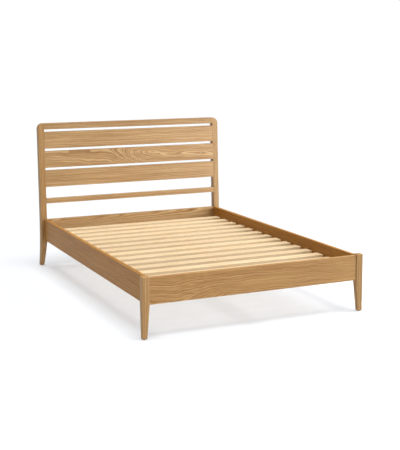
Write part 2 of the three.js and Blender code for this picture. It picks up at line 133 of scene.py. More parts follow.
class Workpiece:
    """A piece on the bench, started from a primitive and shaped in edit mode."""

    def __init__(self, body: bpy.types.Object, name: str) -> None:
        """Takes up a mesh object.

        Args:
            body: The object in hand.
            name: The name it keeps.
        """
        self.body = body
        body.name = name
        body.data.name = name

    @classmethod
    def block(cls, name: str, low: Triple, high: Triple) -> "Workpiece":
        """Starts a squared blank.

        Args:
            name: The piece's name.
            low: Its lowest corner.
            high: Its highest corner.

        Returns:
            The blank.
        """
        put_down()
        size = Vector(high) - Vector(low)
        middle = (Vector(high) + Vector(low)) / 2
        bpy.ops.mesh.primitive_cube_add(size=1.0, location=middle, scale=size)
        bpy.ops.object.transform_apply(location=True, rotation=True, scale=True)
        return cls(bpy.context.object, name)

    @classmethod
    def rod(cls, name: str, radius: float, bottom: float, top: float, sides: int = 32) -> "Workpiece":
        """Starts a round or many-sided blank that stands on the Z axis.

        Args:
            name: The piece's name.
            radius: Its radius.
            bottom: Height of its lower end.
            top: Height of its upper end.
            sides: How many flats it has.

        Returns:
            The blank.
        """
        put_down()
        bpy.ops.mesh.primitive_cylinder_add(
            vertices=sides, radius=radius, depth=top - bottom, location=(0, 0, (top + bottom) / 2)
        )
        bpy.ops.object.transform_apply(location=True, rotation=True, scale=True)
        return cls(bpy.context.object, name)

    def take_up(self) -> None:
        """Makes this the one selected and active object."""
        put_down()
        self.body.select_set(True)
        bpy.context.view_layer.objects.active = self.body

    @contextmanager
    def shaping(self) -> Iterator[None]:
        """Opens the piece in edit mode.

        Yields:
            Nothing, for as long as the shaping lasts.
        """
        self.take_up()
        bpy.ops.object.mode_set(mode="EDIT")
        yield
        bpy.ops.object.mode_set(mode="OBJECT")

    def pick(self, kind: Element, wanted: Test) -> None:
        """Selects elements by their place.

        Args:
            kind: Points, edges or faces.
            wanted: Told an element's middle and its normal, or an edge's direction.
        """
        bpy.ops.mesh.select_mode(type=kind.value)
        bpy.ops.mesh.select_all(action="DESELECT")
        mesh = bmesh.from_edit_mesh(self.body.data)
        mesh.normal_update()
        if kind is Element.POINT:
            found = [(v, v.co, v.normal) for v in mesh.verts]
        elif kind is Element.EDGE:
            found = [(e, edge_middle(e), edge_way(e)) for e in mesh.edges]
        else:
            found = [(f, f.calc_center_median(), f.normal) for f in mesh.faces]
        for element, place, way in found:
            if wanted(place, way):
                element.select_set(True)
        mesh.select_flush_mode()
        bmesh.update_edit_mesh(self.body.data)

    def saw(self, axis: int, places: Iterable[float]) -> None:
        """Marks rings of edges right round the piece, which stays whole.

        Args:
            axis: The axis that the rings stand across.
            places: Where they are on that axis.
        """
        for place in places:
            point, normal = Vector(), Vector()
            point[axis], normal[axis] = place, 1.0
            bpy.ops.mesh.select_all(action="SELECT")
            bpy.ops.mesh.bisect(plane_co=point, plane_no=normal)

    def shift(self, step: Triple) -> None:
        """Moves what is selected."""
        bpy.ops.transform.translate(value=step)

    def swell(self, factors: Triple, about: Triple) -> None:
        """Resizes what is selected about a point."""
        bpy.ops.transform.resize(value=factors, center_override=about)

    def inset(self, width: float, rise: float = 0.0) -> None:
        """Insets the selected faces, and raises what is left of them."""
        bpy.ops.mesh.inset(thickness=width, depth=0.0)
        self.shift((0.0, 0.0, rise))

    def draw_out(self, step: Triple) -> None:
        """Extrudes the selected faces by a step."""
        bpy.ops.mesh.extrude_region_move(TRANSFORM_OT_translate={"value": step})

    def heights(self) -> list[float]:
        """The different heights of its points, lowest first, while it is being shaped."""
        mesh = bmesh.from_edit_mesh(self.body.data)
        return sorted({round(v.co.z, 5) for v in mesh.verts})

    def lean_back(self) -> None:
        """Leans what stands above the rails back from the bed, one height at a time."""
        for height in self.heights():
            if height > RAIL_TOP + NEAR:
                self.pick(Element.POINT, lambda at, _, z=height: abs(at.z - z) < 1e-5)
                self.shift((0.0, RAKE * (height - RAIL_TOP), 0.0))

    def modify(self, kind: str, **settings: Any) -> None:
        """Adds a modifier and applies it.

        Args:
            kind: The modifier's type.
            **settings: Its settings.
        """
        self.take_up()
        modifier = self.body.modifiers.new("step", kind)
        for name, value in settings.items():
            setattr(modifier, name, value)
        bpy.ops.object.modifier_apply(modifier="step")

    def ease(self, width: float, share: Callable[[Vector, Vector], float] | None = None, steps: int = 3) -> None:
        """Rounds its arrises and smooths it.

        Args:
            width: The full rounding.
            share: How much of it an edge gets, told the edge's middle and direction.
            steps: Facets in the rounding.
        """
        with self.shaping():
            mesh = bmesh.from_edit_mesh(self.body.data)
            weight = mesh.edges.layers.float.new("bevel_weight_edge")
            for edge in mesh.edges:
                if edge.calc_face_angle(0.0) > SHARP:
                    edge[weight] = share(edge_middle(edge), edge_way(edge)) if share else 1.0
            bmesh.update_edit_mesh(self.body.data)
        self.modify("BEVEL", limit_method="WEIGHT", width=width, segments=steps, use_clamp_overlap=False)
        self.body.data.attributes.remove(self.body.data.attributes["bevel_weight_edge"])
        self.smooth()

    def smooth(self) -> None:
        """Shades the roundings smooth and keeps the flats flat."""
        self.take_up()
        bpy.ops.object.shade_smooth_by_angle(angle=math.radians(40.0))
        self.modify("WEIGHTED_NORMAL", keep_sharp=True, weight=50)

    def merge(self, other: "Workpiece", how: str) -> None:
        """Adds another piece by UNION or cuts with it by DIFFERENCE, and uses it up."""
        self.modify("BOOLEAN", operation=how, object=other.body, solver="EXACT")
        bpy.data.objects.remove(other.body)

    def turn(self, angles: Triple) -> None:
        """Turns it about the origin, with the turn applied to its mesh.

        Args:
            angles: How far, about each axis.
        """
        self.take_up()
        self.body.rotation_euler = angles
        bpy.ops.object.transform_apply(location=True, rotation=True, scale=True)

    def carry(self, step: Triple) -> "Workpiece":
        """Moves it, with the move applied to its mesh.

        Args:
            step: How far.

        Returns:
            The piece itself.
        """
        self.take_up()
        self.body.location = step
        bpy.ops.object.transform_apply(location=True, rotation=True, scale=True)
        return self

    def copied(self, name: str, step: Triple = (0.0, 0.0, 0.0)) -> "Workpiece":
        """Makes a copy with its own mesh.

        Args:
            name: The copy's name.
            step: How far it lies from this one.

        Returns:
            The copy.
        """
        self.take_up()
        bpy.ops.object.duplicate(linked=False)
        return Workpiece(bpy.context.object, name).carry(step)

    def join(self, others: list["Workpiece"]) -> None:
        """Takes other pieces into this one, each still whole.

        Args:
            others: The pieces.
        """
        self.take_up()
        for other in others:
            other.body.select_set(True)
        bpy.ops.object.join()

    def fit(self, slot: str, finish: bpy.types.Material, *nodes: str) -> None:
        """Gives it its finish and its place in the frame.

        Args:
            slot: The record's material slot; not used.
            finish: Its material.
            *nodes: The nodes it stands for.
        """
        mark_arrises(self.body)
        self.body.data.materials.clear()
        self.body.data.materials.append(finish)
        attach(self.body, BODY)
        if nodes:
            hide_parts(*nodes)
        low, high = (Vector(f(c[i] for c in self.body.bound_box) for i in range(3)) for f in (min, max))
        size = " x ".join(f"{1000 * side:.1f}" for side in high - low)
        log.info("%s: %s mm, %d faces, %s", self.body.name, size, len(self.body.data.polygons), finish.name)


def drill(node: str, radius: float) -> Workpiece:
    """Makes what bores the hole for a fastener or dowel that lies front to back.

    Args:
        node: The fastener or dowel.
        radius: Of the part that goes into the hole.

    Returns:
        The drill, with clearance all round.
    """
    low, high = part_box(node)
    half = (high.y - low.y) / 2 + JOINT
    made = Workpiece.rod("drill", radius + JOINT, -half, half, 40)
    made.turn((QUARTER, 0.0, 0.0))
    return made.carry((low + high) / 2)


def edge_middle(edge: bmesh.types.BMEdge) -> Vector:
    """The middle of an edge."""
    return (edge.verts[0].co + edge.verts[1].co) / 2


def edge_way(edge: bmesh.types.BMEdge) -> Vector:
    """The direction of an edge."""
    return (edge.verts[1].co - edge.verts[0].co).normalized()


def mark_arrises(body: bpy.types.Object) -> None:
    """Marks the narrow faces along rounded edges, where the oak and steel finishes paint a highlight.

    Args:
        body: The piece's object.
    """
    mesh = body.data
    narrow = []
    for face in mesh.polygons:
        points = [mesh.vertices[i].co for i in face.vertices]
        longest = max((a - b).length for a, b in zip(points, points[1:] + points[:1]))
        narrow.append(1.0 if face.area < NARROW * longest else 0.0)
    layer = mesh.attributes.new("arris", "FLOAT", "FACE")
    layer.data.foreach_set("value", narrow)


@dataclass(frozen=True)
class Cut:
    """How a piece was sawn from its log, which sets the figure on its faces.

    Attributes:
        fibre: Which way its fibres run.
        beside: How far the heart of the log lies to one side of the piece.
        behind: How far the heart lies behind it.
        wander: How fast the heart drifts towards the face, for each metre along.
        figure: 0 for straight grain, 1 for a swirling one.
        tone: Lighter above 0, darker below.
        run: How fast the heart drifts sideways, for each metre along.
        warmth: 0 for the palest colour, 1 for the reddest; on the side rails and the head posts it also paints
            shade and sheen.
        swirl: Where the rings swerve, along the piece from its middle.
    """

    fibre: Fibre
    beside: float = 0.16
    behind: float = 0.06
    wander: float = 0.0
    figure: float = 0.15
    tone: float = 0.0
    run: float = 0.0
    warmth: float = 0.0
    swirl: float = -9.0

    def mark(self, piece: Workpiece) -> None:
        """Writes where each point of the piece lay in its log.

        Args:
            piece: The piece that was sawn so.
        """
        mesh = piece.body.data
        along, across, through = self.fibre.value
        corners = [Vector(corner) for corner in piece.body.bound_box]
        middle = sum(corners, Vector()) / 8
        start = random.Random(piece.body.name).uniform(2.0, 18.0)
        places, swirls = [], []
        for vertex in mesh.vertices:
            at = vertex.co - middle
            places += [at[along] + start, at[across] - self.beside - self.run * at[along]]
            places.append(at[through] + self.behind + self.wander * at[along])
            swirls.append(self.swirl - at[along])
        mesh.attributes.new("grain", "FLOAT_VECTOR", "POINT").data.foreach_set("vector", places)
        mesh.attributes.new("swirl", "FLOAT", "POINT").data.foreach_set("value", swirls)
        for name, value in (("tone", self.tone), ("figure", self.figure), ("warmth", self.warmth)):
            layer = mesh.attributes.new(name, "FLOAT", "POINT")
            layer.data.foreach_set("value", [value] * len(mesh.vertices))


# --------------------------------------------------------------- the finishes


class Value:
    """A number inside a material, on which sums are written as Python."""

    def __init__(self, graph: "Graph", socket: bpy.types.NodeSocket) -> None:
        """Wraps the output socket that gives the number."""
        self.graph = graph
        self.socket = socket

    def sum(self, operation: str, *terms: Any) -> "Value":
        """What a Math node makes of some numbers or values."""
        made = self.graph.node("ShaderNodeMath", {"operation": operation}, dict(enumerate(terms)))
        return Value(self.graph, made.outputs[0])

    def __add__(self, other: Any) -> "Value":
        """self + other."""
        return self.sum("ADD", self, other)

    def __radd__(self, other: Any) -> "Value":
        """other + self."""
        return self.sum("ADD", other, self)

    def __sub__(self, other: Any) -> "Value":
        """self - other."""
        return self.sum("SUBTRACT", self, other)

    def __rsub__(self, other: Any) -> "Value":
        """other - self."""
        return self.sum("SUBTRACT", other, self)

    def __mul__(self, other: Any) -> "Value":
        """self * other."""
        return self.sum("MULTIPLY", self, other)

    def __rmul__(self, other: Any) -> "Value":
        """other * self."""
        return self.sum("MULTIPLY", other, self)

    def __pow__(self, other: Any) -> "Value":
        """self ** other."""
        return self.sum("POWER", self, other)

    def root(self) -> "Value":
        """Its square root."""
        return self.sum("SQRT", self)

    def fraction(self) -> "Value":
        """What is left above the whole number."""
        return self.sum("FRACT", self)

    def rise(self, low: float, high: float) -> "Value":
        """Makes a smooth step.

        Args:
            low: Where it starts from 0.
            high: Where it has reached 1.

        Returns:
            The step.
        """
        made = self.graph.node(
            "ShaderNodeMapRange",
            {"interpolation_type": "SMOOTHSTEP"},
            {"Value": self, "From Min": low, "From Max": high},
        )
        return Value(self.graph, made.outputs[0])


class Graph:
    """The node tree of one finish."""

    def __init__(self, name: str) -> None:
        """Starts an empty material.

        Args:
            name: Its name.
        """
        self.material = bpy.data.materials.new(name)
        self.material.use_nodes = True
        self.tree = self.material.node_tree
        self.tree.nodes.clear()

    def node(
        self, kind: str, settings: dict[str, Any] | None = None, sockets: dict[str | int, Any] | None = None
    ) -> bpy.types.Node:
        """Adds a node.

        Args:
            kind: Its type.
            settings: Its properties, and a ramp's stops, which are set first.
            sockets: The numbers, values or sockets that its inputs take.

        Returns:
            The node.
        """
        made = self.tree.nodes.new(kind)
        for name, value in (settings or {}).items():
            if name == "stops":
                ramp = made.color_ramp
                while len(ramp.elements) < len(value):
                    ramp.elements.new(1.0)
                for stop, (place, colour) in zip(ramp.elements, value):
                    stop.position, stop.color = place, (*colour, 1.0)
            else:
                setattr(made, name, value)
        for key, value in (sockets or {}).items():
            source = value.socket if isinstance(value, Value) else value
            if isinstance(source, bpy.types.NodeSocket):
                self.tree.links.new(source, made.inputs[key])
            else:
                made.inputs[key].default_value = source
        return made

    def read(self, name: str) -> bpy.types.NodeSocket:
        """A vector that the piece carries."""
        return self.node("ShaderNodeAttribute", {"attribute_name": name}).outputs["Vector"]

    def read_number(self, name: str) -> Value:
        """A number that the piece carries."""
        return Value(self, self.node("ShaderNodeAttribute", {"attribute_name": name}).outputs["Fac"])

    def place(self) -> bpy.types.NodeSocket:
        """The point's place on the piece, in metres."""
        return self.node("ShaderNodeTexCoord").outputs["Object"]

    def stretch(self, vector: bpy.types.NodeSocket, factors: Triple) -> bpy.types.NodeSocket:
        """A vector with each axis multiplied by its own factor."""
        made = self.node("ShaderNodeVectorMath", {"operation": "MULTIPLY"}, {0: vector, 1: factors})
        return made.outputs[0]

    def split(self, vector: bpy.types.NodeSocket) -> tuple[Value, Value, Value]:
        """The three numbers of a vector."""
        made = self.node("ShaderNodeSeparateXYZ", None, {0: vector})
        return tuple(Value(self, socket) for socket in made.outputs)

    def cloud(self, vector: bpy.types.NodeSocket, detail: float = 2.0, rough: float = 0.5) -> bpy.types.Node:
        """Noise in three dimensions."""
        sockets = {"Vector": vector, "Scale": 1.0, "Detail": detail, "Roughness": rough}
        return self.node("ShaderNodeTexNoise", None, sockets)

    def speckle(self, vector: bpy.types.NodeSocket, detail: float = 2.0, rough: float = 0.5) -> Value:
        """The grey of a noise in three dimensions."""
        return Value(self, self.cloud(vector, detail, rough).outputs[0])

    def ripple(self, value: Value, detail: float = 1.0) -> Value:
        """Makes noise along a single number.

        Args:
            value: The number.
            detail: How many finer noises are added.

        Returns:
            The noise.
        """
        made = self.node(
            "ShaderNodeTexNoise", {"noise_dimensions": "1D"}, {"W": value, "Scale": 1.0, "Detail": detail}
        )
        return Value(self, made.outputs[0])

    def ramp(self, value: Value, stops: list[tuple[float, Colour]]) -> bpy.types.NodeSocket:
        """Colours along a number."""
        return self.node("ShaderNodeValToRGB", {"stops": stops}, {0: value}).outputs[0]

    def blend(self, share: Any, under: Any, over: Any, how: str = "MIX") -> bpy.types.NodeSocket:
        """Mixes two colours.

        Args:
            share: How much of the second shows.
            under: The first colour.
            over: The second colour.
            how: The kind of mix.

        Returns:
            The mixed colour.
        """
        colours = [(*c, 1.0) if isinstance(c, tuple) else c for c in (under, over)]
        made = self.node(
            "ShaderNodeMix", {"data_type": "RGBA", "blend_type": how}, {0: share, 6: colours[0], 7: colours[1]}
        )
        return made.outputs[2]

    def scaled(self, colour: bpy.types.NodeSocket | Colour, factor: Value) -> bpy.types.NodeSocket:
        """A colour made lighter or darker."""
        made = self.node("ShaderNodeVectorMath", {"operation": "SCALE"}, {0: colour, "Scale": factor})
        return made.outputs[0]

    def surface(
        self, colour: bpy.types.NodeSocket, roughness: Value, height: Value, depth: float, **fixed: Any
    ) -> bpy.types.Material:
        """Ends the tree in a surface.

        Args:
            colour: Its colour.
            roughness: How rough it is.
            height: The relief on it, from 0 to 1.
            depth: How deep that relief is.
            **fixed: Settings that are the same all over, by socket name with underscores.

        Returns:
            The finished material.
        """
        relief = self.node("ShaderNodeBump", None, {"Strength": 1.0, "Distance": depth, "Height": height})
        sockets = {name.replace("_", " "): value for name, value in fixed.items()}
        sockets |= {"Base Color": colour, "Roughness": roughness, "Normal": relief.outputs[0]}
        shader = self.node("ShaderNodeBsdfPrincipled", None, sockets)
        self.node("ShaderNodeOutputMaterial", None, {"Surface": shader.outputs[0]})
        return self.material


@dataclass(frozen=True)
class Oak:
    """Pale oak under a satin lacquer.

    Attributes:
        name: The material's name.
        pale: The palest wood between two years' growth.
        warm: The body colour.
        deep: The porous early wood.
        pore: The open pores.
        blush: What warms the colour of a redder board, and the painted shade on the side rails and the left head
            post.
        year: How wide a year's growth is.
        sheen: How strongly the lacquer reflects.
        relief: Depth of its open grain.
    """

    name: str
    pale: Colour = (0.570, 0.375, 0.175)
    warm: Colour = (0.430, 0.247, 0.098)
    deep: Colour = (0.285, 0.132, 0.040)
    pore: Colour = (0.130, 0.060, 0.022)
    blush: Colour = (1.0, 0.77, 0.36)
    year: float = 0.0036
    sheen: float = 0.32
    relief: float = 0.00016

    def build(self) -> bpy.types.Material:
        """Makes the material.

        Returns:
            Oak whose rings, pores and flecks follow the way each piece was sawn.
        """
        g = Graph(self.name)
        grain, figure = g.read("grain"), g.read_number("figure")
        along, across, through = g.split(grain)
        slow_x, slow_y, _ = g.split(g.cloud(g.stretch(grain, (1.7, 7.0, 7.0)), 2.0).outputs[1])
        curl_x, curl_y, _ = g.split(g.cloud(g.stretch(grain, (5.0, 3.5, 3.5)), 1.0).outputs[1])
        quick = g.speckle(g.stretch(grain, (11.0, 40.0, 40.0)), 2.0)
        wave = g.speckle(g.stretch(grain, (8.0, 12.0, 12.0)), 1.0)
        # Where the point lies from the heart of a log that grew crooked.
        sway = figure * 0.030 + 0.008
        curl = figure * figure * 0.018
        swerve = g.read_number("swirl").rise(-SWERVE, SWERVE) * figure * 0.07
        u = across + (slow_x - 0.5) * sway + (curl_x - 0.5) * curl
        u = u + (quick - 0.5) * 0.006 + (wave - 0.5) * figure * 0.042
        v = through + (slow_y - 0.5) * sway + (curl_y - 0.5) * curl + swerve
        radius = (u * u + v * v).root()
        pace = g.ripple(radius * 42.0)
        phase = (radius * (1.0 / self.year) + pace * 3.0).fraction()
        early = (1.0 - phase) ** 2.5
        band = g.ripple(radius * 240.0, 2.0)
        # The fine parts: blushes, streaks along the rings, fibres, pores and silver rays.
        flush = g.speckle(g.stretch(grain, (1.6, 17.0, 17.0)), 2.0)
        swung = g.node("ShaderNodeCombineXYZ", None, {0: along, 1: u, 2: v}).outputs[0]
        streak = g.speckle(g.stretch(swung, (3.2, 105.0, 105.0)), 4.0, 0.6)
        fibre = g.speckle(g.stretch(grain, (7.0, 700.0, 700.0)), 3.0, 0.65)
        dash = g.speckle(g.stretch(grain, (170.0, 2600.0, 2600.0)), 1.0)
        ray = g.speckle(g.stretch(grain, (60.0, 1300.0, 110.0)), 1.0).rise(0.64, 0.72)
        pore = dash.rise(0.58, 0.66) * early.rise(0.20, 0.65)
        tint = (band - 0.5) * (2.05 - figure * 0.55) + (early - 0.28) * (figure * 0.30 + 0.34)
        tint = tint + (streak - 0.5) * 1.05 + (fibre - 0.5) * 0.40 + (flush - 0.5) * 0.50 + 0.42
        colour = g.ramp(tint, [(0.08, self.pale), (0.42, self.warm), (0.95, self.deep)])
        colour = g.blend(g.read_number("warmth"), colour, self.blush, "MULTIPLY")
        colour = g.blend(pore * 0.75, colour, self.pore)
        colour = g.blend(ray * 0.16, colour, self.pale)
        # Painted highlight: the narrow faces of the rounded arrises are blended towards pale oak.
        colour = g.blend(g.read_number("arris") * 0.22, colour, self.pale)
        mottle = g.speckle(g.stretch(grain, (2.2, 11.0, 11.0)), 3.0)
        colour = g.scaled(colour, g.read_number("tone") + (mottle - 0.5) * 0.22 + 1.0)
        roughness = early * 0.07 + pore * 0.20 + (fibre - 0.5) * 0.10 + (mottle - 0.5) * 0.12 + 0.46
        height = 1.0 - pore * 0.8 - early * 0.22 + (fibre - 0.5) * 0.25
        return g.surface(colour, roughness, height, self.relief, Specular_IOR_Level=self.sheen)


@dataclass(frozen=True)
class Pine:
    """Planed pine, bare, with soft rings and a few small knots."""

    name: str
    pale: Colour = (0.760, 0.590, 0.370)
    late: Colour = (0.560, 0.350, 0.150)
    knot: Colour = (0.240, 0.115, 0.045)
    relief: float = 0.00014

    def build(self) -> bpy.types.Material:
        """Makes the material.

        Returns:
            Pine whose rings swerve round its knots.
        """
        g = Graph(self.name)
        grain, figure = g.read("grain"), g.read_number("figure")
        _, across, through = g.split(grain)
        cells = g.node("ShaderNodeTexVoronoi", None, {"Vector": g.stretch(grain, (1.9, 9.0, 9.0)), "Scale": 1.0})
        near = Value(g, cells.outputs[0])
        knot = 1.0 - near.rise(0.035, 0.075)
        swerve = 1.0 - near.rise(0.03, 0.34)
        slow_x, slow_y, _ = g.split(g.cloud(g.stretch(grain, (1.2, 6.0, 6.0)), 2.0).outputs[1])
        sway = figure * 0.030 + 0.010
        u = across + (slow_x - 0.5) * sway + swerve * 0.007
        v = through + (slow_y - 0.5) * sway
        radius = (u * u + v * v).root()
        phase = (radius * 210.0 + g.ripple(radius * 30.0) * 2.0).fraction()
        late = phase ** 3.0
        fibre = g.speckle(g.stretch(grain, (9.0, 800.0, 800.0)), 3.0, 0.65)
        mottle = g.speckle(g.stretch(grain, (1.6, 22.0, 22.0)), 3.0, 0.6)
        tint = late * 0.62 + (fibre - 0.5) * 0.45 + (mottle - 0.5) * 0.7 + 0.12
        colour = g.blend(tint, self.pale, self.late)
        colour = g.blend(swerve * 0.30, colour, self.late)
        colour = g.blend(knot * 0.85, colour, self.knot)
        colour = g.scaled(colour, g.read_number("tone") + (mottle - 0.5) * 0.14 + 1.0)
        roughness = (fibre - 0.5) * 0.18 - late * 0.08 + 0.66
        height = late * 0.5 + fibre * 0.5 - knot * 0.2
        return g.surface(colour, roughness, height, self.relief)


@dataclass(frozen=True)
class Beech:
    """Pressed beech, as dowels are."""

    name: str
    pale: Colour = (0.640, 0.430, 0.270)
    fleck: Colour = (0.400, 0.230, 0.120)
    relief: float = 0.0001

    def build(self) -> bpy.types.Material:
        """Makes the material.

        Returns:
            Beech with short flecks along the dowel.
        """
        g = Graph(self.name)
        place = g.place()
        fleck = g.speckle(g.stretch(place, (900.0, 160.0, 900.0)), 1.0).rise(0.55, 0.68)
        cloudy = g.speckle(g.stretch(place, (120.0, 20.0, 120.0)), 2.0)
        colour = g.scaled(g.blend(fleck * 0.7, self.pale, self.fleck), cloudy * 0.3 + 0.85)
        return g.surface(colour, cloudy * 0.2 + 0.5, 1.0 - fleck, self.relief)


@dataclass(frozen=True)
class ZincSteel:
    """Pressed steel with a bright zinc plating."""

    name: str
    bright: Colour = (0.720, 0.730, 0.750)
    dull: Colour = (0.480, 0.490, 0.510)
    relief: float = 0.00006

    def build(self) -> bpy.types.Material:
        """Makes the material.

        Returns:
            Plated steel, cloudy on its flats, with a painted highlight in bright zinc along its edges.
        """
        g = Graph(self.name)
        place = g.place()
        cloudy = g.speckle(g.stretch(place, (90.0, 90.0, 90.0)), 4.0, 0.6)
        scratch = g.speckle(g.stretch(place, (260.0, 260.0, 5200.0)), 2.0).rise(0.60, 0.72)
        edge = g.read_number("arris")
        colour = g.ramp(cloudy, [(0.25, self.dull), (0.70, self.bright)])
        # Painted highlight: the narrow faces along the rounded edges are blended towards bright zinc.
        colour = g.blend(edge * 0.5, colour, self.bright)
        roughness = 0.52 - cloudy * 0.34 + scratch * 0.12 - edge * 0.06
        return g.surface(colour, roughness, cloudy - scratch * 0.4, self.relief, Metallic=1.0)


@dataclass(frozen=True)
class Nylon:
    """Moulded nylon, a little scuffed where it slides."""

    name: str
    dark: Colour = (0.050, 0.042, 0.036)
    scuffed: Colour = (0.190, 0.170, 0.150)
    relief: float = 0.00005

    def build(self) -> bpy.types.Material:
        """Makes the material.

        Returns:
            Dark nylon with a fine moulded texture.
        """
        g = Graph(self.name)
        place = g.place()
        _, _, height = g.split(place)
        spark = g.speckle(g.stretch(place, (2400.0, 2400.0, 2400.0)), 2.0)
        worn = 1.0 - height.rise(0.0004, 0.0016)
        scuff = g.speckle(g.stretch(place, (700.0, 220.0, 400.0)), 3.0).rise(0.48, 0.66) * worn
        colour = g.blend(scuff * 0.8 + spark * 0.1, self.dark, self.scuffed)
        return g.surface(colour, 0.55 + scuff * 0.2 - spark * 0.1, spark, self.relief)


@dataclass(frozen=True)
class PaleFloor:
    """A plain, matt studio floor."""

    name: str = "studio_floor"
    tone: Colour = (0.48, 0.50, 0.53)
    glow: float = 0.375

    def build(self) -> bpy.types.Material:
        """Makes the material.

        Returns:
            A pale floor that keeps a soft shadow.
        """
        g = Graph(self.name)
        cloudy = g.speckle(g.stretch(g.place(), (3.0, 3.0, 3.0)), 3.0)
        colour = g.scaled(self.tone, cloudy * 0.01 + 0.995)
        return g.surface(
            colour, cloudy * 0.05 + 0.9, cloudy, 0.0001,
            Emission_Color=(1.0, 1.0, 1.0, 1.0), Emission_Strength=self.glow, Specular_IOR_Level=0.0,
        )


@dataclass(frozen=True)
class Palette:
    """Every finish on the bed, by the record's slot."""

    posts: bpy.types.Material = field(default_factory=lambda: Oak("oak_post", sheen=0.26).build())
    boards: bpy.types.Material = field(default_factory=lambda: Oak("oak_board").build())
    rails: bpy.types.Material = field(default_factory=lambda: Oak("oak_rail", sheen=0.20).build())
    slats: bpy.types.Material = field(default_factory=lambda: Pine("pine_slat").build())
    dowels: bpy.types.Material = field(default_factory=lambda: Beech("beech_dowel").build())
    steel: bpy.types.Material = field(default_factory=lambda: ZincSteel("zinc_steel").build())
    glides: bpy.types.Material = field(default_factory=lambda: Nylon("nylon_glide").build())


# ---------------------------------------------------------- the sub-assemblies


@dataclass(frozen=True)
class CrossBoard:
    """A board between two posts.

    Attributes:
        node: The CAD node it stands for.
        front: Its front face, from the front of the foot posts, before any lean.
        thickness: From front to back.
        edge: Rounding of its long arrises.
        cut: How it was sawn.
        shoulder: Height of the shoulders above and below its tenons.
    """

    node: str
    front: float
    thickness: float
    edge: float
    cut: Cut
    shoulder: float = 0.010

    def tongue(self, slack: float = 0.0) -> Workpiece:
        """Makes the tongue through the board whose two ends are its tenons.

        Args:
            slack: What a mortise needs on every side.

        Returns:
            The tongue.
        """
        low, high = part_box(self.node)
        middle = FRONT + self.front + self.thickness / 2
        half = self.thickness * 0.225 + slack
        start = (low.x - slack, middle - half, low.z + self.shoulder - slack)
        stop = (high.x + slack, middle + half, high.z - self.shoulder + slack)
        piece = Workpiece.block("tongue", start, stop)
        with piece.shaping():
            piece.lean_back()
        return piece

    def make(self, palette: Palette, holes: Iterable[Workpiece] = ()) -> None:
        """Shapes the board, leans it if it is part of the headboard, joints it and finishes it.

        Args:
            palette: The finishes.
            holes: The drills for what is fastened to it.
        """
        low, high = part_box(self.node)
        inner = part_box("foot_post_right")[0].x - JOINT
        piece = Workpiece.block(
            f"{self.node}_wood",
            (-inner, FRONT + self.front, low.z),
            (inner, FRONT + self.front + self.thickness, high.z),
        )
        with piece.shaping():
            piece.lean_back()
        piece.ease(self.edge, lambda _, way: 1.0 if abs(way.x) > ALONG else 0.16)
        piece.merge(self.tongue(), "UNION")
        for hole in holes:
            piece.merge(hole, "DIFFERENCE")
        piece.smooth()
        self.cut.mark(piece)
        piece.fit("oak_board", palette.boards, self.node)


def end_holes(end: str) -> Iterator[Workpiece]:
    """Makes the drills for the bolts and screws in the board across one end.

    Args:
        end: Foot or head.

    Yields:
        Each drill.
    """
    for name in SIDES:
        yield drill(f"hanger_screw_{end}_{name}", SCREW_RADIUS)
        for number in (1, 2):
            yield drill(f"bracket_bolt_{end}_{name}_{number}", BOLT_RADIUS)


@dataclass
class Assembly:
    """What every sub-assembly is given.

    Attributes:
        palette: The finishes.
    """

    palette: Palette


